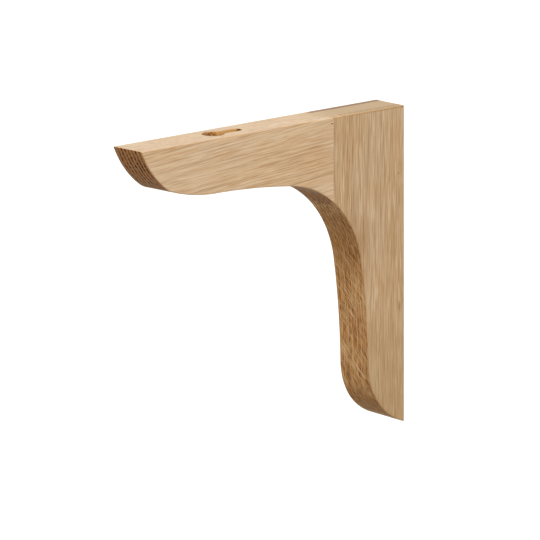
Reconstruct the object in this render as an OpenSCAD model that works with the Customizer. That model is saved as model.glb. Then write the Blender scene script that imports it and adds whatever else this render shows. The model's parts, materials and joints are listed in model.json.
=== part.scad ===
// Oak shelf bracket: a horizontal arm and an upright leg, joined at the wall end by a bridle joint.
//
// The wall plane is Y = 0, the arm points along -Y, Z is up, and X runs across the thickness.
// The origin is the centre of the wall face.
//
// The side outline is drawn flat. The first number of a point is its distance out from the wall,
// the second its height above the shelf face, so everything below the shelf face is negative.
// Sweeps are given by their radius and by the angles at which one hands over to the next; each
// one leaves the last without a corner.

/* [Overall] */
// Length of the arm, from the wall to its tip
arm_length = 280; // [230:1:340]
// Height of the leg, from its foot to the shelf face
bracket_height = 250; // [205:1:305]
// Thickness of both pieces, from side to side
thickness = 32; // [26:1:40]

/* [Arm] */
// Depth of the arm where its underside runs level
arm_depth = 43.5; // [36:0.5:53]
// Radius of the upturned nose
nose_radius = 80; // [66:1:96]
// Radius of the short bend between the nose and its run-out
knuckle_radius = 18; // [10:1:30]
// Radius of the run-out from the level underside
runout_radius = 164; // [120:1:200]
// Slope of the underside where the run-out meets the short bend, in degrees
runout_slope = 17; // [14:0.5:21]
// Slope of the underside where the short bend meets the nose, in degrees
nose_slope = 34; // [28:0.5:41]

/* [Inner curve] */
// Radius of the sweep inside the corner
corner_radius = 84; // [70:1:101]
// Slope of the underside where it meets the corner sweep, in degrees
underside_slope = 7.5; // [6:0.5:9]
// Lean of the leg's front off the upright where it meets the corner sweep, in degrees
leg_lean_top = 9; // [7.5:0.5:11]
// Lean of the leg's front off the upright where it meets the foot, in degrees
leg_lean_foot = 1; // [0.5:0.5:2]

/* [Leg] */
// Depth of the leg, out from the wall, just above the foot
leg_depth = 38.5; // [32:0.5:46.5]
// Radius of the rounded foot
foot_radius = 51; // [47:1:61]

/* [Bridle joint] */
// Distance from the wall to the shoulders, where the sides of the arm meet the leg
shoulder_distance = 75; // [62:1:90]
// Depth of the tongue, down from the shelf face
tongue_depth = 70; // [58:1:84]
// Thickness of each cheek of the leg, beside the tongue
cheek_thickness = 6; // [5:0.5:8]
// Glue line between the tongue and the slot that holds it
glue_gap = 0.1; // [0:0.05:0.3]

/* [Keyhole slots] */
// Diameter of the entry hole, and width of the undercut that the screw head slides in
entry_diameter = 18; // [15:0.5:21]
// Width of the neck that the screw's shank slides in
neck_width = 9; // [7:0.5:11]
// Travel from the entry hole to the screw's seat
keyhole_travel = 24.5; // [20:0.5:29]
// Thickness of the lips that the screw head hooks under
lip_thickness = 4; // [3:0.5:5]
// Height of the undercut below the lips
undercut_height = 6; // [5:0.5:8]
// Distance from the wall to the screw's seat in the shelf face
shelf_seat_distance = 164; // [134:1:194]
// Distance from the underside of the tongue to the screw's seat in the wall face
wall_seat_drop = 14; // [12:0.5:17]

/* [Hidden] */
$fn = 96;

arm_colour = [0.79, 0.66, 0.51];
leg_colour = [0.74, 0.60, 0.45];

// Longest straight step along a sweep, and how far a cutting shape runs past what it cuts
chord = 2.5;
margin = 1;

tongue_width = thickness - 2 * cheek_thickness - 2 * glue_gap;
slot_width = thickness - 2 * cheek_thickness;
keyhole_depth = lip_thickness + undercut_height;

// The side outline, worked out sweep by sweep

function heading(angle) = [cos(angle), sin(angle)];

// How far a sweep of this radius carries a point, between two angles about its own centre
function swing(radius, from, to) = radius * (heading(to) - heading(from));

// The points of a sweep that starts at a known point, without that first point
function sweep(start, radius, from, to) =
    let (steps = max(2, ceil(abs(to - from) * PI / 180 * radius / chord)))
    [for (i = [1:steps]) start + swing(radius, from, from + (to - from) * i / steps)];

function last(points) = points[len(points) - 1];

// Angles on the arm's outer sweeps, which turn upwards to the tip
level = -90;
runout_end = level + runout_slope;
knuckle_end = level + nose_slope;
nose_start = swing(runout_radius, level, runout_end)
    + swing(knuckle_radius, runout_end, knuckle_end);
// The nose sweep stops where it reaches the height of the shelf face
nose_end = asin(sin(knuckle_end) + (arm_depth - nose_start.y) / nose_radius);
nose_reach = nose_start.x + swing(nose_radius, knuckle_end, nose_end).x;
underside_end = [arm_length - nose_reach, -arm_depth];

// Angles on the leg's foot, whose sweep stops where it reaches the wall
foot_top = -leg_lean_foot;
foot_bottom = -acos(cos(foot_top) - leg_depth / foot_radius);
foot_start = [leg_depth, -bracket_height - swing(foot_radius, foot_top, foot_bottom).y];

// Angles on the inner curve, which turns downwards from the underside to the leg's front
underside_top = 90;
corner_top = underside_top + underside_slope;
corner_bottom = 180 - leg_lean_top;
front_bottom = 180 - leg_lean_foot;
// The underside and the leg's front are long flat sweeps. Their radii close the outline.
underside_unit = swing(1, underside_top, corner_top);
front_unit = swing(1, corner_bottom, front_bottom);
left_to_close = foot_start - underside_end - swing(corner_radius, corner_top, corner_bottom);
underside_radius = cross(left_to_close, front_unit) / cross(underside_unit, front_unit);
front_radius = cross(underside_unit, left_to_close) / cross(underside_unit, front_unit);

function inner_points() =
    let (
        underside = sweep(underside_end, underside_radius, underside_top, corner_top),
        corner = sweep(last(underside), corner_radius, corner_top, corner_bottom),
        front = sweep(last(corner), front_radius, corner_bottom, front_bottom)
    )
    concat([underside_end], underside, corner, front);

function outer_points() =
    let (
        runout = sweep(underside_end, runout_radius, level, runout_end),
        knuckle = sweep(last(runout), knuckle_radius, runout_end, knuckle_end),
        nose = sweep(last(knuckle), nose_radius, knuckle_end, nose_end)
    )
    concat(runout, knuckle, nose);

function reversed(points) = [for (i = [len(points) - 1:-1:0]) points[i]];

module side_outline() {
    foot = sweep(foot_start, foot_radius, foot_top, foot_bottom);
    polygon(concat([[0, 0]], reversed(outer_points()), inner_points(), foot));
}

// Stands a flat shape up in the bracket's frame, as thick as stated, about the middle
module upright(width) {
    translate([0, 0, bracket_height / 2])
        rotate([90, 0, -90])
            linear_extrude(height = width, center = true)
                children();
}

// The part of the side outline between two distances out from the wall, down to a depth
module blank(near, far, depth) {
    intersection() {
        side_outline();
        translate([near, -depth])
            square([far - near, depth + margin]);
    }
}

// A keyhole cut down from the plane Z = 0, with its screw seat at the origin and its entry
// hole along +Y
module keyhole() {
    undercut_bottom = -keyhole_depth;
    cut_height = keyhole_depth + margin;
    translate([0, keyhole_travel, undercut_bottom])
        cylinder(d = entry_diameter, h = cut_height);
    translate([0, 0, undercut_bottom])
        cylinder(d = neck_width, h = cut_height);
    translate([-neck_width / 2, 0, undercut_bottom])
        cube([neck_width, keyhole_travel, cut_height]);
    translate([0, 0, undercut_bottom])
        cylinder(d = entry_diameter, h = undercut_height);
    translate([-entry_diameter / 2, 0, undercut_bottom])
        cube([entry_diameter, keyhole_travel, undercut_height]);
}

// In the shelf face, the entry hole is on the tip's side of the seat
module shelf_keyhole() {
    translate([0, -shelf_seat_distance, bracket_height / 2])
        rotate([0, 0, 180])
            keyhole();
}

// In the wall face, the entry hole is below the seat, so the bracket drops onto its screw
module wall_keyhole() {
    translate([0, 0, bracket_height / 2 - tongue_depth - wall_seat_drop])
        rotate([-90, 0, 0])
            keyhole();
}

// The arm: full thickness outside the shoulders, and a tongue from there to the wall
module arm() {
    color(arm_colour)
        difference() {
            union() {
                upright(thickness)
                    blank(shoulder_distance, arm_length + margin, bracket_height);
                upright(tongue_width)
                    blank(0, shoulder_distance + margin, tongue_depth - glue_gap);
            }
            shelf_keyhole();
        }
}

// The leg: slotted at its head for the tongue, with a cheek on each side
module leg() {
    color(leg_colour)
        difference() {
            upright(thickness)
                blank(0, shoulder_distance, bracket_height + margin);
            upright(slot_width)
                translate([-margin, -tongue_depth])
                    square([shoulder_distance + 2 * margin, tongue_depth + margin]);
            wall_keyhole();
        }
}

arm();
leg();
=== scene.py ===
"""Oak shelf bracket: its looks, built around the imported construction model.

The bracket is two pieces of oak, an arm and a leg, joined at the wall end by a bridle joint. Each
piece starts from a copy of its construction node. The copy's edges are eased, its faces are
divided finely enough to carry the relief of sanded wood, and dents and torn fibres are added to
it. The oak is a solid pattern in the bracket's own coordinates, so its pores run from the faces
into the end grain.
"""

import json
import logging
import math
import random
from dataclasses import dataclass
from enum import Enum
from typing import Union

import bmesh
import bpy
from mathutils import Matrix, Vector, noise


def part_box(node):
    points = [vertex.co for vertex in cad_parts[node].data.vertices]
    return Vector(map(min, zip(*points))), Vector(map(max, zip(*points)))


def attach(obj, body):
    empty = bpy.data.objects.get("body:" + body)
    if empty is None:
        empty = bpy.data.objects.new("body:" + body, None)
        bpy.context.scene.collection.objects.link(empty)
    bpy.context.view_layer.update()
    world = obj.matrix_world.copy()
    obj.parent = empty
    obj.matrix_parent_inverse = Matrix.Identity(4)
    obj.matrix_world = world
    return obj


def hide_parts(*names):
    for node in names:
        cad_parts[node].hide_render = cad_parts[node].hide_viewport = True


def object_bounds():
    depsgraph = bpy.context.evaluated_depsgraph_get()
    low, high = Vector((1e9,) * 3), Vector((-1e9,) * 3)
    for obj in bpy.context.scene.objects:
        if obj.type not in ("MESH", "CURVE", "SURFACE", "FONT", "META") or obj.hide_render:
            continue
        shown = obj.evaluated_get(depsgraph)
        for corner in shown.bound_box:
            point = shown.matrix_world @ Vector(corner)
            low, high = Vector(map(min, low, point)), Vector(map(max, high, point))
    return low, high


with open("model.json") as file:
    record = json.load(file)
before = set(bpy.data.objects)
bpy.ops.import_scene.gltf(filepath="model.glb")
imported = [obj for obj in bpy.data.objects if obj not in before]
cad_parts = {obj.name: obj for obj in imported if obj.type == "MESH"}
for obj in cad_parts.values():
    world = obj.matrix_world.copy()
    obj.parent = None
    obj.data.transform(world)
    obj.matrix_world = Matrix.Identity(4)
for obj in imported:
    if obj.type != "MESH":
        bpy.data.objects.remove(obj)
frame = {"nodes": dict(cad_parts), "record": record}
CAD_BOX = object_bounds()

logging.basicConfig(level=logging.INFO, format="%(message)s")
log = logging.getLogger("bracket")

MM = 0.001
BODY = "root"
SEED = 11
EASED = "eased"
EXACT = 0.01 * MM

# Spans of a value, from none of what it drives to all of it
SHEEN_SPAN = (0.3, 0.9)
END_SPAN = (0.25, 0.62)
EDGE_SPAN = (0.9, 0.3)
ROW_SPAN = (-0.4, 0.7)
SPECK_SPAN = (0.42, 0.6)
STAIN_OR_SHADE_SPAN = (1.2, 0.6)
# How far each layer's pattern is shifted from the last one's, in metres
LAYER_SHIFT = (0.31, 0.17, 0.23)
# The size and span of a layer with no pattern, which lays its colour evenly
EVEN = ((40, 40, 40), (0.0, 0.2))

Value = Union[float, tuple, bpy.types.Node, bpy.types.NodeSocket]


class Way(Enum):
    """The bracket's three directions, each as the index of its coordinate."""

    ACROSS = 0
    OUT = 1
    UP = 2


class Mark(Enum):
    """The attributes that a piece carries for its material, each from 0 to 1."""

    ARRIS = "arris"
    TORN = "torn"


class Extent(Enum):
    """Where a layer of the oak shows."""

    EVERYWHERE = "everywhere"
    EDGES = "edges"
    ENDS = "ends"
    END_ROWS = "end rows"


class Texture(Enum):
    """What a layer is made of, by the node that draws it."""

    FIBRES = "ShaderNodeTexNoise"
    VESSELS = "ShaderNodeTexVoronoi"


class Spread(Enum):
    """How a stain or a patch of painted shade lies in its place: all over it, or only in specks."""

    SOLID = "solid"
    SPECKS = "specks"


def linear(hex_colour: str) -> tuple[float, float, float, float]:
    """Turns an sRGB hex colour into the linear colour that a shader takes.

    Args:
        hex_colour: The colour as six hex digits after a hash.

    Returns:
        Red, green, blue and an alpha of 1, in linear light.
    """
    channels = [int(hex_colour[i : i + 2], 16) / 255 for i in (1, 3, 5)]
    return (*(c / 12.92 if c <= 0.04045 else ((c + 0.055) / 1.055) ** 2.4 for c in channels), 1.0)


def add_node(
    tree: bpy.types.NodeTree, kind: str, sockets: dict[Union[str, int], Value], **settings: object
) -> bpy.types.Node:
    """Adds one node with its settings and links.

    Args:
        tree: The node tree that gets the node.
        kind: Blender's name for the kind of node.
        sockets: What goes into each input: a value, another node's output, or another node, of
            which the first output is taken.
        **settings: The node's own properties.

    Returns:
        The node.
    """
    node = tree.nodes.new(kind)
    for name, setting in settings.items():
        setattr(node, name, setting)
    for socket, value in sockets.items():
        if isinstance(value, bpy.types.Node):
            value = value.outputs[0]
        if isinstance(value, bpy.types.NodeSocket):
            tree.links.new(value, node.inputs[socket])
        else:
            node.inputs[socket].default_value = value
    return node


@dataclass(frozen=True)
class Layer:
    """One layer of the oak's figure. Sizes are in millimetres, and angles in degrees.

    Attributes:
        size: The size of its features on X, Y and Z.
        span: The pattern's values that show none of the colour and the most of it.
        colour: Its colour, in sRGB.
        strength: How much of the colour it shows at the most.
        texture: What it is made of.
        extent: The faces that it shows on.
        turn: Its turn about X, Y and Z.
        detail: How many finer octaves its fibres have.
        sunk: How deep its marks are.
    """

    size: tuple[float, float, float]
    span: tuple[float, float]
    colour: str
    strength: float
    texture: Texture = Texture.FIBRES
    extent: Extent = Extent.EVERYWHERE
    turn: tuple[float, float, float] = (0.0, 0.0, 0.0)
    detail: float = 1.0
    sunk: float = 0.0


@dataclass(frozen=True)
class StainOrShade:
    """A knot, bruise, darker place or patch of painted shade, as an ellipsoid. Sizes are in millimetres.

    Attributes:
        centre: Its middle, in the bracket's frame.
        half: Its half sizes on X, Y and Z.
        colour: Its colour, in sRGB.
        strength: How much of the colour it shows.
        spread: How it lies in its place.
        dent: How deep its middle is sunk.
    """

    centre: tuple[float, float, float]
    half: tuple[float, float, float]
    colour: str
    strength: float
    spread: Spread = Spread.SOLID
    dent: float = 0.0


@dataclass(frozen=True)
class Oak:
    """European oak, sawn, planed and sanded, under a thin matt oil.

    The growth rings lie flat to the bracket's sides, about 4 mm apart, so their rows of open
    pores show as streaks on the edges and as rows of dots on the end grain. The sides show long
    soft lines.

    Attributes:
        name: The material's name.
        slot: The name of the record's slot that it is meant for. It is not used.
        grain: The direction of the grain.
        base: The colour of the palest wood, in sRGB.
        end: The colour of the end grain's pale late wood, in sRGB.
        golden: The colour of the eased arrises, in sRGB.
        arris_strength: How much of that colour they show.
        raw: The colour of the wood inside the keyhole slots, cut and not sanded, in sRGB.
        layers: The figure, from the bottom layer up.
        stains_and_shade: The knots, bruises, darker places and patches of painted shade.
        wander: How far the fibres wander from straight, in millimetres.
        ring_spacing: The distance between growth rings, in millimetres.
        roughness: The roughness of the oiled surface.
        ior: The refractive index of the oil.
        matt: The specular level of the faces that don't look up.
        sheen: The specular level of the faces that look up.
        raw_strength: How much of the raw colour the inside of the keyhole slots shows.
        bend_width: The width of one bend of the fibres, in millimetres.
        bend_length: Its length along the grain, in millimetres.
        speck_size: The size of the specks in a speckled stain, in millimetres.
    """

    name: str
    slot: str
    grain: Way
    base: str
    end: str
    golden: str
    arris_strength: float
    raw: str
    layers: tuple[Layer, ...]
    stains_and_shade: tuple[StainOrShade, ...] = ()
    wander: float = 1.0
    ring_spacing: float = 4.0
    roughness: float = 0.5
    ior: float = 1.5
    matt: float = 0.02
    sheen: float = 0.5
    raw_strength: float = 0.85
    bend_width: float = 22.0
    bend_length: float = 80.0
    speck_size: float = 2.6

    def material(self) -> bpy.types.Material:
        """Builds the oak for one piece.

        Returns:
            The material.
        """
        made = bpy.data.materials.new(self.name)
        made.use_nodes = True
        tree = made.node_tree
        tree.nodes.clear()
        place = add_node(tree, "ShaderNodeTexCoord", {}).outputs["Object"]
        where = self.wandering(tree, place)
        masks = self.masks(tree, where)
        colour = add_node(
            tree,
            "ShaderNodeMix",
            {0: masks[Extent.ENDS], 6: linear(self.base), 7: linear(self.end)},
            data_type="RGBA",
        ).outputs[2]
        colour, relief = self.figure(tree, where, masks, colour)
        colour = self.marks(tree, place, colour)
        bump = add_node(
            tree, "ShaderNodeBump", {"Height": relief, "Strength": 1.0, "Distance": MM}
        )
        # Only the faces that look up on the upright bracket have a sheen. The rest is nearly matt.
        upward = add_node(
            tree,
            "ShaderNodeSeparateXYZ",
            {0: add_node(tree, "ShaderNodeTexCoord", {}).outputs["Normal"]},
        ).outputs[Way.UP.value]
        gloss = add_node(
            tree,
            "ShaderNodeMapRange",
            {
                "Value": upward,
                "From Min": SHEEN_SPAN[0],
                "From Max": SHEEN_SPAN[1],
                "To Min": self.matt,
                "To Max": self.sheen,
            },
        )
        shader = add_node(
            tree,
            "ShaderNodeBsdfPrincipled",
            {
                "Base Color": colour,
                "Roughness": self.roughness,
                "Specular IOR Level": gloss,
                "Normal": bump,
                "IOR": self.ior,
            },
        )
        add_node(tree, "ShaderNodeOutputMaterial", {"Surface": shader})
        return made

    def wandering(self, tree: bpy.types.NodeTree, place: bpy.types.NodeSocket) -> bpy.types.Node:
        """Bends the coordinates, as oak's fibres bend a millimetre or so in a hand's breadth.

        Args:
            tree: The material's node tree.
            place: The piece's own coordinates.

        Returns:
            The node that gives the bent coordinates.
        """
        size = [self.bend_width * MM] * 3
        size[self.grain.value] = self.bend_length * MM
        stretched = add_node(
            tree, "ShaderNodeMapping", {"Vector": place, "Scale": size}, vector_type="TEXTURE"
        )
        bends = add_node(
            tree, "ShaderNodeTexNoise", {"Vector": stretched, "Scale": 1.0, "Detail": 1.0}
        ).outputs["Color"]
        centred = add_node(
            tree, "ShaderNodeVectorMath", {0: bends, 1: (0.5, 0.5, 0.5)}, operation="SUBTRACT"
        )
        reach = (self.wander * MM,) * 3
        return add_node(
            tree,
            "ShaderNodeVectorMath",
            {0: centred, 1: reach, 2: place},
            operation="MULTIPLY_ADD",
        )

    def masks(
        self, tree: bpy.types.NodeTree, where: bpy.types.Node
    ) -> dict[Extent, bpy.types.Node]:
        """Finds where each extent lies: on the edges, on the end grain, and in its rows of pores.

        Args:
            tree: The material's node tree.
            where: The wood's bent coordinates.

        Returns:
            A node for each extent but EVERYWHERE, which gives 1 inside it and 0 outside.
        """
        normal = add_node(tree, "ShaderNodeTexCoord", {}).outputs["Normal"]
        facing = add_node(tree, "ShaderNodeVectorMath", {0: normal}, operation="ABSOLUTE")
        turned = add_node(tree, "ShaderNodeSeparateXYZ", {0: facing})
        ends = add_node(
            tree,
            "ShaderNodeMapRange",
            {
                "Value": turned.outputs[self.grain.value],
                "From Min": END_SPAN[0],
                "From Max": END_SPAN[1],
            },
            interpolation_type="SMOOTHSTEP",
        )
        edges = add_node(
            tree,
            "ShaderNodeMapRange",
            {
                "Value": turned.outputs[Way.ACROSS.value],
                "From Min": EDGE_SPAN[0],
                "From Max": EDGE_SPAN[1],
            },
            interpolation_type="SMOOTHSTEP",
        )
        across = add_node(tree, "ShaderNodeSeparateXYZ", {0: where}).outputs[Way.ACROSS.value]
        turns = 2 * math.pi / (self.ring_spacing * MM)
        angle = add_node(tree, "ShaderNodeMath", {0: across, 1: turns}, operation="MULTIPLY")
        wave = add_node(tree, "ShaderNodeMath", {0: angle}, operation="SINE")
        rows = add_node(
            tree,
            "ShaderNodeMapRange",
            {"Value": wave, "From Min": ROW_SPAN[0], "From Max": ROW_SPAN[1]},
            interpolation_type="SMOOTHSTEP",
        )
        end_rows = add_node(tree, "ShaderNodeMath", {0: rows, 1: ends}, operation="MULTIPLY")
        return {Extent.EDGES: edges, Extent.ENDS: ends, Extent.END_ROWS: end_rows}

    def figure(
        self,
        tree: bpy.types.NodeTree,
        where: bpy.types.Node,
        masks: dict[Extent, bpy.types.Node],
        colour: bpy.types.NodeSocket,
    ) -> tuple[bpy.types.NodeSocket, Value]:
        """Lays the oak's layers over one another.

        Args:
            tree: The material's node tree.
            where: The wood's bent coordinates.
            masks: Where each extent lies.
            colour: The colour under the layers.

        Returns:
            The figured colour, and the height of the surface in millimetres.
        """
        height: Value = 0.0
        for number, layer in enumerate(self.layers):
            turned = add_node(
                tree,
                "ShaderNodeMapping",
                {
                    "Vector": where,
                    "Location": [shift * number for shift in LAYER_SHIFT],
                    "Rotation": [math.radians(a) for a in layer.turn],
                    "Scale": [c * MM for c in layer.size],
                },
                vector_type="TEXTURE",
            )
            drawn = add_node(tree, layer.texture.value, {"Vector": turned, "Scale": 1.0})
            if layer.texture is Texture.FIBRES:
                drawn.inputs["Detail"].default_value = layer.detail
            share = add_node(
                tree,
                "ShaderNodeMapRange",
                {
                    "Value": drawn,
                    "From Min": layer.span[0],
                    "From Max": layer.span[1],
                    "To Max": layer.strength,
                },
                interpolation_type="SMOOTHSTEP",
            )
            if layer.extent is not Extent.EVERYWHERE:
                share = add_node(
                    tree, "ShaderNodeMath", {0: share, 1: masks[layer.extent]}, operation="MULTIPLY"
                )
            colour = add_node(
                tree, "ShaderNodeMix", {0: share, 6: colour, 7: linear(layer.colour)}, data_type="RGBA"
            ).outputs[2]
            if layer.sunk:
                height = add_node(
                    tree,
                    "ShaderNodeMath",
                    {0: share, 1: -layer.sunk / layer.strength, 2: height},
                    operation="MULTIPLY_ADD",
                )
        return colour, height

    def marks(
        self, tree: bpy.types.NodeTree, place: bpy.types.NodeSocket, colour: bpy.types.NodeSocket
    ) -> bpy.types.NodeSocket:
        """Lays the marks of making and handling over the wood's colour.

        Args:
            tree: The material's node tree.
            place: The piece's own coordinates.
            colour: The wood's colour.

        Returns:
            The colour with its golden arrises, raw cuts, stains and painted shade.
        """
        for mark, over, strength in (
            (Mark.ARRIS, self.golden, self.arris_strength),
            (Mark.TORN, self.raw, self.raw_strength),
        ):
            found = add_node(tree, "ShaderNodeAttribute", {}, attribute_name=mark.value)
            share = add_node(
                tree, "ShaderNodeMath", {0: found.outputs["Fac"], 1: strength}, operation="MULTIPLY"
            )
            colour = add_node(
                tree, "ShaderNodeMix", {0: share, 6: colour, 7: linear(over)}, data_type="RGBA"
            ).outputs[2]
        fine = add_node(
            tree,
            "ShaderNodeMapping",
            {"Vector": place, "Scale": (self.speck_size * MM,) * 3},
            vector_type="TEXTURE",
        )
        grains = add_node(tree, "ShaderNodeTexNoise", {"Vector": fine, "Scale": 1.0, "Detail": 2.0})
        specks = add_node(
            tree,
            "ShaderNodeMapRange",
            {"Value": grains, "From Min": SPECK_SPAN[0], "From Max": SPECK_SPAN[1]},
            interpolation_type="SMOOTHSTEP",
        )
        for stain_or_shade in self.stains_and_shade:
            local = add_node(
                tree,
                "ShaderNodeMapping",
                {
                    "Vector": place,
                    "Location": [c * MM for c in stain_or_shade.centre],
                    "Scale": [h * MM for h in stain_or_shade.half],
                },
                vector_type="TEXTURE",
            )
            reach = add_node(tree, "ShaderNodeVectorMath", {0: local}, operation="LENGTH")
            share = add_node(
                tree,
                "ShaderNodeMapRange",
                {
                    "Value": reach.outputs["Value"],
                    "From Min": STAIN_OR_SHADE_SPAN[0],
                    "From Max": STAIN_OR_SHADE_SPAN[1],
                    "To Max": stain_or_shade.strength,
                },
                interpolation_type="SMOOTHSTEP",
            )
            if stain_or_shade.spread is Spread.SPECKS:
                share = add_node(tree, "ShaderNodeMath", {0: share, 1: specks}, operation="MULTIPLY")
            colour = add_node(
                tree, "ShaderNodeMix", {0: share, 6: colour, 7: linear(stain_or_shade.colour)}, data_type="RGBA"
            ).outputs[2]
        return colour


@dataclass(frozen=True)
class Keyhole:
    """A keyhole slot, by its screw seat, the way to its entry hole, and its sizes in metres.

    The rim is how far its edges reach into the face, rim_depth how deep they go, and slack how
    far off its walls a point may lie and still be on them.
    """

    seat: Vector
    to_entry: Vector
    face: Vector
    travel: float = 24.5 * MM
    entry_radius: float = 9.0 * MM
    neck_radius: float = 4.5 * MM
    depth: float = 10.0 * MM
    rim: float = 0.25 * MM
    rim_depth: float = 0.3 * MM
    slack: float = 0.2 * MM

    @property
    def entry(self) -> Vector:
        """The centre of the entry hole, in the face."""
        return self.seat + self.to_entry * self.travel

    def flat(self, point: Vector, centre: Vector) -> Vector:
        """The way from a centre to a point, in the plane of the face."""
        away = point - centre
        return away - self.face * away.dot(self.face)

    def holds(self, point: Vector) -> bool:
        """Tells whether a point lies on the keyhole's own surfaces, rims included.

        Args:
            point: The point, in the bracket's frame.

        Returns:
            True if it does.
        """
        down = -(point - self.seat).dot(self.face)
        if not -EXACT < down < self.depth + self.slack:
            return False
        along = min(max((point - self.seat).dot(self.to_entry), 0.0), self.travel)
        from_slot = self.flat(point, self.seat + self.to_entry * along).length
        if down > self.rim_depth:
            return from_slot < self.entry_radius + self.slack
        from_entry = self.flat(point, self.entry).length
        return from_slot < self.neck_radius + self.rim or from_entry < self.entry_radius + self.rim


@dataclass
class Joint:
    """The bridle joint that both pieces share, in metres.

    The outer margin keeps open faces out of the joint, the inner one keeps its own edges in, and
    the line margin is how near a meeting line a point counts as on it.
    """

    shoulder: float = 75 * MM
    tongue_depth: float = 70 * MM
    cheek: float = 6 * MM
    outer_margin: float = 0.02 * MM
    inner_margin: float = 0.05 * MM
    line_margin: float = 0.25 * MM

    def __post_init__(self) -> None:
        """Works out the joint's planes from the leg's box."""
        low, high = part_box("leg")
        self.side = high.x
        self.cheek_face = high.x - self.cheek
        self.top = high.z
        self.wall = high.y
        self.foot = high.z - self.tongue_depth

    def on_line(self, point: Vector) -> bool:
        """Tells whether a point lies on a line where the two pieces meet in the open.

        Args:
            point: The point, in the bracket's frame.

        Returns:
            True if it does.
        """
        near = self.line_margin
        behind = point.y > -self.shoulder - near
        on_shoulder = abs(point.y + self.shoulder) < near
        on_cheek = behind and abs(abs(point.x) - self.cheek_face) < near and point.z > self.foot - near
        on_tongue_end = abs(point.x) < self.cheek_face + near and abs(point.z - self.foot) < near
        return on_shoulder or on_cheek or (behind and on_tongue_end)


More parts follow.
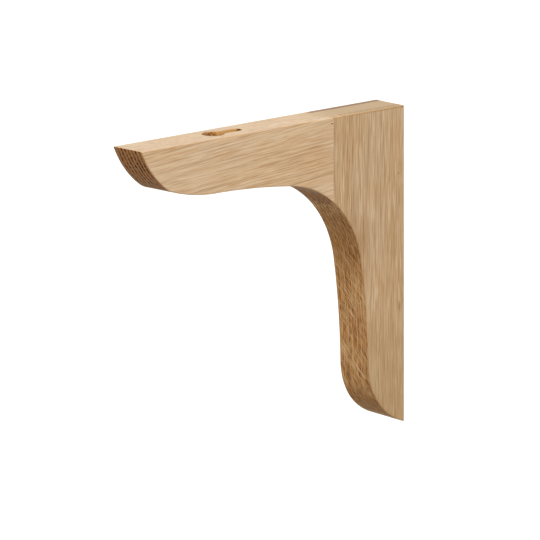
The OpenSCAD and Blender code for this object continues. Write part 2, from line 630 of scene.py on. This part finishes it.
@dataclass
class OakPiece:
    """One piece of the bracket, made from a copy of its construction node.

    Sizes are in metres, and angles in degrees. The arris is how far the outer edges are eased, and
    the seam how far the edges of the joint and the keyhole are. The crease is the least angle that
    counts as an edge, and the shade angle the least that is shaded as one. An edge shorter than
    shortest_seam seams is left sharp, and one longer than stretch cells is divided. The bands are
    the soft stripes of the grain, and the fade is how far a dent reaches, in its own half sizes.
    """

    node: str
    finish: Oak
    keyhole: Keyhole
    joint: Joint
    arris: float = 0.7 * MM
    seam: float = 0.22 * MM
    cell: float = 1.3 * MM
    cuts: int = 3
    relief: float = 0.05 * MM
    merge: float = 0.001 * MM
    flat_angle: float = 0.2
    crease: float = 32.0
    shade_angle: float = 38.0
    longest_chord: float = 3.0 * MM
    chord_cuts: int = 3
    shortest_seam: float = 2.2
    stretch: float = 1.6
    circle_slack: float = 0.08 * MM
    band_width: float = 4.5 * MM
    band_length: float = 90 * MM
    fade: float = 1.6
    seed: int = SEED

    def blank(self) -> bmesh.types.BMesh:
        """Copies the construction node and merges it into flat faces.

        Returns:
            The closed solid, one face to each flat.
        """
        solid = bmesh.new()
        solid.from_mesh(frame["nodes"][self.node].data)
        bmesh.ops.remove_doubles(solid, verts=solid.verts, dist=self.merge)
        bmesh.ops.dissolve_limit(
            solid,
            angle_limit=math.radians(self.flat_angle),
            verts=solid.verts,
            edges=solid.edges,
        )
        return solid

    def in_joint(self, point: Vector) -> bool:
        """Whether a point lies on a surface that the other piece covers."""
        raise NotImplementedError

    def round_keyhole(self, solid: bmesh.types.BMesh) -> None:
        """Divides the keyhole's curved walls and casts them on their true circles.

        Args:
            solid: The piece so far.
        """
        hole = self.keyhole
        chords = [
            e
            for e in solid.edges
            if all(hole.holds(v.co) for v in e.verts)
            and abs((e.verts[0].co - e.verts[1].co).dot(hole.face)) < EXACT
            and e.calc_length() < self.longest_chord
        ]
        bmesh.ops.subdivide_edges(solid, edges=chords, cuts=self.chord_cuts, use_grid_fill=True)
        for vert in solid.verts:
            if not hole.holds(vert.co):
                continue
            for centre, radius in (
                (hole.entry, hole.entry_radius),
                (hole.seat, hole.entry_radius),
                (hole.seat, hole.neck_radius),
            ):
                away = hole.flat(vert.co, centre)
                if abs(away.length - radius) < self.circle_slack:
                    vert.co += away.normalized() * (radius - away.length)
                    break

    def ease(self, solid: bmesh.types.BMesh) -> None:
        """Eases the outer arrises, then the smaller edges of the joint and the keyhole.

        Args:
            solid: The piece so far.
        """
        eased = solid.faces.layers.int.new(EASED)
        for offset, wanted in ((self.arris, self.is_arris), (self.seam, self.is_seam)):
            sharp = [
                e
                for e in solid.edges
                if e.calc_face_angle(0.0) > math.radians(self.crease) and wanted(e)
            ]
            strips = bmesh.ops.bevel(
                solid,
                geom=sharp,
                offset=offset,
                offset_type="OFFSET",
                affect="EDGES",
                segments=4,
                profile=0.5,
                material=-1,
                clamp_overlap=True,
            )["faces"]
            if wanted == self.is_arris:
                for face in strips:
                    face[eased] = 1

    def is_arris(self, edge: bmesh.types.BMEdge) -> bool:
        """Tells whether an edge is one of the piece's outer arrises.

        Args:
            edge: The edge.

        Returns:
            True if it is.
        """
        middle = (edge.verts[0].co + edge.verts[1].co) / 2
        in_keyhole = self.keyhole.holds(middle)
        return not (in_keyhole or self.in_joint(middle) or self.joint.on_line(middle))

    def is_seam(self, edge: bmesh.types.BMEdge) -> bool:
        """Whether a sharp edge that is left gets the small easing."""
        return edge.calc_length() > self.shortest_seam * self.seam

    def divide(self, solid: bmesh.types.BMesh) -> None:
        """Divides the faces into cells, fine enough to carry the relief of the surface.

        The solid is sliced into coarse cells first, and each of those is then subdivided.

        Args:
            solid: The piece so far.
        """
        low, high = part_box(self.node)
        coarse = self.cell * (self.cuts + 1)
        for axis in Way:
            normal = Vector((0.0, 0.0, 0.0))
            normal[axis.value] = 1.0
            length = high[axis.value] - low[axis.value]
            count = max(2, round(length / coarse))
            for step in range(1, count):
                bmesh.ops.bisect_plane(
                    solid,
                    geom=solid.verts[:] + solid.edges[:] + solid.faces[:],
                    dist=EXACT,
                    plane_co=low + normal * (length * step / count),
                    plane_no=normal,
                )
        bmesh.ops.triangulate(solid, faces=[f for f in solid.faces if len(f.verts) > 4])
        lengthy = [e for e in solid.edges if e.calc_length() > self.stretch * self.cell]
        bmesh.ops.subdivide_edges(solid, edges=lengthy, cuts=self.cuts, use_grid_fill=True)

    def paint(self, solid: bmesh.types.BMesh) -> None:
        """Marks the arrises and the torn places for the material.

        Args:
            solid: The piece so far.
        """
        layers = {mark: solid.verts.layers.float.new(mark.value) for mark in Mark}
        eased = solid.faces.layers.int[EASED]
        for vert in solid.verts:
            vert[layers[Mark.ARRIS]] = float(any(f[eased] for f in vert.link_faces))
            vert[layers[Mark.TORN]] = self.torn_share(vert.co)
        solid.faces.layers.int.remove(eased)

    def torn_share(self, point: Vector) -> float:
        """How raw and torn the fibres are at a point, from 0 to 1."""
        return 1.0 if self.keyhole.holds(point) else 0.0

    def raise_grain(self, solid: bmesh.types.BMesh) -> None:
        """Sinks the softer bands by a few hundredths of a millimetre, as sanding leaves them.

        Args:
            solid: The piece so far.
        """
        solid.normal_update()
        size = Vector((self.band_width,) * 3)
        size[self.finish.grain.value] = self.band_length
        moves = []
        for vert in solid.verts:
            if self.in_joint(vert.co) or self.keyhole.holds(vert.co):
                continue
            spot = Vector(c / s for c, s in zip(vert.co, size))
            depth = self.relief * (0.5 + 0.5 * noise.noise(spot)) + self.dent(vert.co)
            moves.append((vert, -vert.normal * depth))
        for vert, move in moves:
            vert.co += move

    def dent(self, point: Vector) -> float:
        """Finds how deep a dent, chip or knot is at a point.

        Args:
            point: The point, in the bracket's frame.

        Returns:
            The depth in metres, which is 0 away from every dent.
        """
        deep = 0.0
        for stain_or_shade in self.finish.stains_and_shade:
            if stain_or_shade.dent:
                spot = point / MM
                away = Vector((c - k) / h for c, k, h in zip(spot, stain_or_shade.centre, stain_or_shade.half))
                deep = max(deep, stain_or_shade.dent * MM * max(0.0, 1.0 - away.length / self.fade))
        return deep

    def details(self, solid: bmesh.types.BMesh) -> None:
        """Adds what only this piece has."""

    def build(self) -> bpy.types.Object:
        """Builds the piece, dresses it, parents it to the bracket's body and hides its construction node.

        Returns:
            The finished object.
        """
        solid = self.blank()
        self.round_keyhole(solid)
        self.ease(solid)
        self.divide(solid)
        self.paint(solid)
        self.details(solid)
        self.raise_grain(solid)
        mesh = bpy.data.meshes.new(f"{self.node}_oak")
        solid.normal_update()
        solid.to_mesh(mesh)
        solid.free()
        mesh.materials.append(self.finish.material())
        mesh.shade_smooth()
        mesh.set_sharp_from_angle(angle=math.radians(self.shade_angle))
        piece = bpy.data.objects.new(f"{self.node}_oak", mesh)
        bpy.context.scene.collection.objects.link(piece)
        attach(piece, BODY)
        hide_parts(self.node)
        log.info("%s: %d faces", piece.name, len(mesh.polygons))
        return piece


@dataclass
class Arm(OakPiece):
    """The arm, with the tongue at its wall end and the keyhole in its shelf face.

    The foot margin is how far below the slot's floor a point still counts as in the joint. The
    splinters stand on a stretch of the entry hole's wall: so far down from the face, and so far
    along from the hole's centre, where the wall is within wall_lean of upright. Their length is
    how far they reach and their drop how far they hang, both in millimetres. Their sway is how far
    they lean, their taper the size of their tips, and their raw shares what each one's share of
    the raw colour is drawn from.
    """

    foot_margin: float = 1.0 * MM
    splinters: int = 18
    splinter_down: tuple[float, float] = (0.2 * MM, 2.4 * MM)
    splinter_along: tuple[float, float] = (-6.5 * MM, 3.5 * MM)
    splinter_length: tuple[float, float] = (1.5, 6.0)
    splinter_drop: tuple[float, float] = (0.0, 1.2)
    splinter_sway: float = 0.5
    splinter_taper: float = 0.35
    splinter_raw: tuple[float, ...] = (0.0, 0.0, 1.0)
    wall_lean: float = 0.2
    below_face: float = 0.15 * MM

    def in_joint(self, point: Vector) -> bool:
        """Tells whether a point lies on the hidden surface of the tongue or of the shoulders.

        Args:
            point: The point, in the bracket's frame.

        Returns:
            True if it does.
        """
        joint = self.joint
        outer = joint.outer_margin
        behind = point.y > -joint.shoulder - outer
        top_or_wall = point.z > joint.top - outer or point.y > joint.wall - outer
        inside = abs(point.x) < joint.side - joint.inner_margin
        return behind and inside and not top_or_wall and point.z > joint.foot - self.foot_margin

    def details(self, solid: bmesh.types.BMesh) -> None:
        """Draws torn fibres across the entry hole.

        Args:
            solid: The piece so far.
        """
        draw = random.Random(self.seed)
        hole = self.keyhole
        torn = solid.verts.layers.float[Mark.TORN.value]
        least, most = self.splinter_down
        back, ahead = self.splinter_along
        wall = []
        for face in solid.faces:
            middle = face.calc_center_median()
            upright = abs(face.normal.dot(hole.face)) < self.wall_lean and hole.holds(middle)
            in_entry = abs(hole.flat(middle, hole.entry).length - hole.entry_radius) < hole.slack
            high = least < (hole.seat - middle).dot(hole.face) < most
            beside = back < middle.y - hole.entry.y < ahead
            if upright and in_entry and high and beside:
                wall.append(face)
        chosen = draw.sample(wall, min(self.splinters, len(wall)))
        grown = bmesh.ops.extrude_discrete_faces(solid, faces=chosen)["faces"]
        for face in grown:
            middle = face.calc_center_median()
            inward = -hole.flat(middle, hole.entry).normalized()
            inward.y += draw.uniform(-self.splinter_sway, self.splinter_sway)
            reach = inward * draw.uniform(*self.splinter_length) * MM
            reach -= hole.face * draw.uniform(*self.splinter_drop) * MM
            share = draw.choice(self.splinter_raw)
            for vert in face.verts:
                tip = middle + (vert.co - middle) * self.splinter_taper + reach
                tip.z = min(tip.z, hole.seat.z - self.below_face)
                vert.co = tip
                vert[torn] = share


@dataclass
class Leg(OakPiece):
    """The leg, slotted at its head for the tongue, with the keyhole in its wall face.

    The foot skew is how much higher the foot's left corner ends. It sets in over the skew reach,
    and the skew power is how late it does.
    """

    foot_skew: float = 2.2 * MM
    skew_reach: float = 26.0 * MM
    skew_power: float = 1.5

    def in_joint(self, point: Vector) -> bool:
        """Tells whether a point lies on the hidden surface of the slot or the cheeks' front ends.

        Args:
            point: The point, in the bracket's frame.

        Returns:
            True if it does.
        """
        joint = self.joint
        outer, inner = joint.outer_margin, joint.inner_margin
        top_or_wall = point.z > joint.top - outer or point.y > joint.wall - outer
        in_slot = abs(point.x) < joint.cheek_face + inner and point.z > joint.foot - inner
        on_shoulder = point.y < -joint.shoulder + inner and abs(point.x) < joint.side - inner
        return (in_slot or on_shoulder) and not top_or_wall

    def details(self, solid: bmesh.types.BMesh) -> None:
        """Skews the foot a little: its left corner ends higher than its right.

        Args:
            solid: The piece so far.
        """
        low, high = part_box(self.node)
        for vert in solid.verts:
            leftness = (high.x - vert.co.x) / (high.x - low.x)
            depth = (low.z + self.skew_reach - vert.co.z) / self.skew_reach
            if depth > 0.0:
                vert.co.z += self.foot_skew * leftness * depth**self.skew_power


@dataclass
class Studio:
    """The camera, the floor and the light. Distances are in metres, and angles in degrees.

    The fill is the world's light on the bracket, and the backdrop its light in reflections and
    behind the bracket. They differ, so that the ground stays white.
    """

    azimuth: float = 46.85
    elevation: float = 11.0
    view_width: float = 0.4192
    aim_shift: tuple[float, float, float] = (0.0, 0.0121, 0.0093)
    camera_distance: float = 1.5
    floor_drop: float = 0.25
    floor_size: float = 12.0
    fill: float = 0.36
    backdrop: float = 1.0

    def camera(self) -> None:
        """Sets up the parallel view, a little above the bracket and to its right."""
        low, high = CAD_BOX
        aim = (low + high) / 2 + Vector(self.aim_shift)
        turn, lift = math.radians(self.azimuth), math.radians(self.elevation)
        level = math.cos(lift)
        back = Vector((math.sin(turn) * level, -math.cos(turn) * level, math.sin(lift)))
        data = bpy.data.cameras.new("camera")
        data.type = "ORTHO"
        data.ortho_scale = self.view_width
        camera = bpy.data.objects.new("camera", data)
        camera.location = aim + back * self.camera_distance
        camera.rotation_mode = "QUATERNION"
        camera.rotation_quaternion = (-back).to_track_quat("-Z", "Y")
        bpy.context.scene.collection.objects.link(camera)
        bpy.context.scene.camera = camera

    def floor(self) -> None:
        """Lays a plain pale floor well below the bracket, which hangs on a wall in use."""
        low, _ = CAD_BOX
        plane = bmesh.new()
        bmesh.ops.create_grid(plane, x_segments=1, y_segments=1, size=self.floor_size / 2)
        bmesh.ops.translate(plane, verts=plane.verts, vec=(0.0, 0.0, low.z - self.floor_drop))
        mesh = bpy.data.meshes.new("floor")
        plane.to_mesh(mesh)
        plane.free()
        paint = bpy.data.materials.new("white_floor_paint")
        paint.use_nodes = True
        tree = paint.node_tree
        tree.nodes.clear()
        shader = add_node(
            tree, "ShaderNodeBsdfPrincipled", {"Base Color": linear("#FAFAFA"), "Roughness": 0.9}
        )
        add_node(tree, "ShaderNodeOutputMaterial", {"Surface": shader})
        mesh.materials.append(paint)
        floor = bpy.data.objects.new("floor", mesh)
        # The floor is far off in use, so it throws no light back on the bracket.
        floor.visible_diffuse = False
        floor.visible_glossy = False
        bpy.context.scene.collection.objects.link(floor)

    def sun(
        self, name: str, towards: Vector, strength: float, softness: float, colour: str = "#FFFFFF"
    ) -> None:
        """Hangs one broad soft light.

        Args:
            name: Its name.
            towards: The way from the bracket to the light.
            strength: Its light on a face turned to it, where 1 lights white to white.
            softness: The angle that it fills, in degrees.
            colour: Its colour, in sRGB.
        """
        data = bpy.data.lights.new(name, "SUN")
        data.energy = strength * math.pi
        data.angle = math.radians(softness)
        data.color = linear(colour)[:3]
        lamp = bpy.data.objects.new(name, data)
        lamp.rotation_mode = "QUATERNION"
        lamp.rotation_quaternion = towards.normalized().to_track_quat("Z", "Y")
        bpy.context.scene.collection.objects.link(lamp)

    def light(self) -> None:
        """Lights the bracket from above and from its right, with a warm light from in front."""
        self.sun("overhead_light", Vector((0.25, 0.1, 1.0)), 0.745, 70, "#F0FBFF")
        self.sun("side_light", Vector((1.0, -0.05, 0.35)), 0.6, 60)
        self.sun("front_light", Vector((-0.3, -1.0, 0.4)), 0.22, 60, "#FFD8A4")
        world = bpy.data.worlds.new("studio")
        world.use_nodes = True
        tree = world.node_tree
        tree.nodes.clear()
        seen = add_node(tree, "ShaderNodeLightPath", {}).outputs["Is Diffuse Ray"]
        white = add_node(
            tree, "ShaderNodeBackground", {"Color": linear("#FFFFFF"), "Strength": self.backdrop}
        )
        fill = add_node(
            tree, "ShaderNodeBackground", {"Color": linear("#FFF6EA"), "Strength": self.fill}
        )
        mixed = add_node(tree, "ShaderNodeMixShader", {0: seen, 1: white, 2: fill})
        add_node(tree, "ShaderNodeOutputWorld", {"Surface": mixed})
        scene = bpy.context.scene
        scene.world = world
        scene.view_settings.view_transform = "Standard"

    def build(self) -> None:
        """Builds the studio."""
        self.camera()
        self.floor()
        self.light()


ARM_OAK = Oak(
    name="oiled_oak_arm",
    slot="arm_oak",
    grain=Way.OUT,
    base="#CBB090",
    end="#BC8654",
    golden="#B07C44",
    arris_strength=0.16,
    raw="#CE9E60",
    layers=(
        # Growth bands
        Layer((5, 260, 5), (0.34, 0.66), "#B8926C", 0.35, turn=(4, 0, 0)),
        # Warmer and paler places
        Layer((35, 60, 35), (0.35, 0.65), "#C29D72", 0.35),
        Layer((1.0, 90, 1.0), (0.52, 0.68), "#D9C6AC", 0.3, turn=(4, 0, 0)),
        # Long dark lines and short fine ones. Real pores are about 0.3 mm wide and too fine to
        # show, so these lines are drawn up to three times as wide.
        Layer((0.9, 130, 0.9), (0.52, 0.66), "#8E6A48", 0.45, turn=(4, 0, 0), detail=2, sunk=0.02),
        Layer((0.7, 30, 0.7), (0.5, 0.7), "#8E6A44", 0.35, turn=(4, 0, 0), sunk=0.01),
        Layer((0.4, 24, 0.4), (0.52, 0.64), "#E4D0B6", 0.35, turn=(4, 0, 0)),
        # Orange streaks here and there
        Layer((0.8, 24, 0.8), (0.6, 0.7), "#B07834", 0.45, turn=(5.5, 0, 0)),
        # Rings that the edges cut through
        Layer((1.7, 34, 7), (0.45, 0.64), "#A67A48", 0.25, extent=Extent.EDGES, sunk=0.02),
        # End grain: dark early wood in rows, and its vessels. Real vessels are about 0.3 mm wide
        # and too fine to show, so the dots are drawn some six times as wide.
        Layer(*EVEN, "#84542C", 0.6, extent=Extent.END_ROWS),
        Layer(
            (1.8, 9, 2.3), (0.58, 0.38), "#241004", 1.0, Texture.VESSELS, Extent.END_ROWS, sunk=0.04
        ),
    ),
    stains_and_shade=(
        # A nick in the corner where the arm's side meets the leg
        StainOrShade((16, -76.8, 120.5), (1.6, 1.1, 0.6), "#6E4218", 0.95, dent=0.15),
        # Browner wood low down beside the shoulder
        StainOrShade((16, -96, 96), (3, 26, 12), "#A9793E", 0.15),
        # Painted shade at the blind end of the slot, where its end wall looks away from the light
        StainOrShade((-1, -159.8, 123), (2.4, 1.7, 2.6), "#6E4614", 0.9),
        # Torn wood on the far wall of the entry hole, with painted shade laid over it in specks
        StainOrShade((-7, -188.0, 121), (5, 9, 4.5), "#7E4606", 1.0, Spread.SPECKS),
        # The top, a shade darker towards the wall
        StainOrShade((0, -20, 125), (22, 66, 2), "#A4855C", 0.85),
        # Painted shade on the underside beside the shoulder, in the corner under the arm, browner
        StainOrShade((0, -92, 70), (13.2, 30, 22), "#9C6C38", 0.4),
        # Dark specks along the joint's near seam
        StainOrShade((9.75, -37, 125), (0.35, 60, 0.8), "#4A331C", 0.7, Spread.SPECKS),
        # Part of a faint ring in the top face
        StainOrShade((3.5, -154.6, 125), (1.2, 1.6, 0.8), "#B98C4C", 0.5),
        StainOrShade((-2.5, -154.2, 125), (1.2, 1.6, 0.8), "#B98C4C", 0.5),
    ),
)

LEG_OAK = Oak(
    name="oiled_oak_leg",
    slot="leg_oak",
    grain=Way.UP,
    base="#C0A485",
    end="#B3946C",
    golden="#A2703C",
    arris_strength=0.3,
    raw="#B4854C",
    layers=(
        # Growth bands
        Layer((3, 3, 200), (0.34, 0.66), "#A8865E", 0.45),
        # Warmer and paler places
        Layer((35, 35, 60), (0.35, 0.65), "#B08858", 0.4),
        Layer((0.8, 0.8, 60), (0.5, 0.66), "#D2BA98", 0.3),
        # Long dark lines and short fine ones, drawn as coarse as the arm's
        Layer((0.8, 0.8, 60), (0.49, 0.66), "#84603E", 0.45, detail=2, sunk=0.02),
        Layer((0.6, 0.6, 22), (0.5, 0.7), "#84603A", 0.4, sunk=0.01),
        Layer((0.4, 0.4, 14), (0.5, 0.62), "#96704A", 0.35),
        Layer((0.4, 0.4, 24), (0.52, 0.64), "#E2CEB0", 0.4),
        # Rings that the front cuts through, and the ray flecks that cross them
        Layer(*EVEN, "#E6BA82", 0.85, extent=Extent.EDGES),
        Layer((0.6, 5, 36), (0.47, 0.6), "#8C4E0C", 0.75, extent=Extent.EDGES, sunk=0.03),
        Layer((0.5, 5, 9), (0.5, 0.6), "#7A4008", 0.75, extent=Extent.EDGES, sunk=0.03),
        Layer(
            (0.35, 4, 18), (0.56, 0.62), "#F6E0B8", 0.75, extent=Extent.EDGES, turn=(0, -43, 0), sunk=0.01
        ),
        # End grain, with dots drawn about five times as wide as real vessels, so that they show
        Layer(*EVEN, "#A58458", 0.5, extent=Extent.END_ROWS),
        Layer(
            (1.9, 1.9, 9), (0.5, 0.25), "#6E4E2C", 0.7, Texture.VESSELS, Extent.END_ROWS, sunk=0.03
        ),
    ),
    stains_and_shade=(
        # Small knots near the wall
        StainOrShade((16, -2.0, 124.2), (1.0, 1.0, 1.0), "#8A5A26", 0.8, dent=0.2),
        StainOrShade((16, -6.0, 72.0), (1.0, 0.7, 1.2), "#6A4524", 0.5, dent=0.15),
        StainOrShade((16, -5.0, -33.0), (1.0, 0.9, 4.0), "#6A4524", 0.4),
        # The top, a shade darker towards the wall
        StainOrShade((0, -20, 125), (22, 66, 2), "#9C7C50", 0.85),
        # Painted shade in the hollow of the curve
        StainOrShade((0, -52, 24), (22, 26, 34), "#8C5E30", 0.35),
        StainOrShade((0, -30, -114), (22, 16, 16), "#8C5E30", 0.35),
        # Darker wood towards the foot
        StainOrShade((16, -18, -104), (4, 44, 66), "#9A7C56", 0.3),
        # Dark specks along the joint's near seam
        StainOrShade((10.25, -37, 125), (0.5, 60, 0.8), "#4A331C", 0.8, Spread.SPECKS),
        # The far cheek's top, darker
        StainOrShade((-13, -37, 125), (3.4, 62, 1.5), "#6E4A26", 0.85),
        # A tear in the front, at the end of the tongue
        StainOrShade((-6, -64, 53.8), (4, 10, 0.8), "#3C2413", 0.85, dent=0.2),
    ),
)


def mount_place(name: str) -> Vector:
    """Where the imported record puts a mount."""
    return Vector(next(m["pos_m"] for m in frame["record"]["mounts"] if m["name"] == name))


def main() -> None:
    """Builds the studio and the two pieces."""
    Studio().build()
    joint = Joint()
    up, out, down = Vector((0, 0, 1)), Vector((0, 1, 0)), Vector((0, 0, -1))
    pieces = (
        Arm("arm", ARM_OAK, Keyhole(mount_place("shelf_keyhole"), -out, up), joint=joint),
        Leg("leg", LEG_OAK, Keyhole(mount_place("wall_keyhole"), down, out), joint=joint),
    )
    for piece in pieces:
        piece.build()


if __name__ == "__main__":
    main()
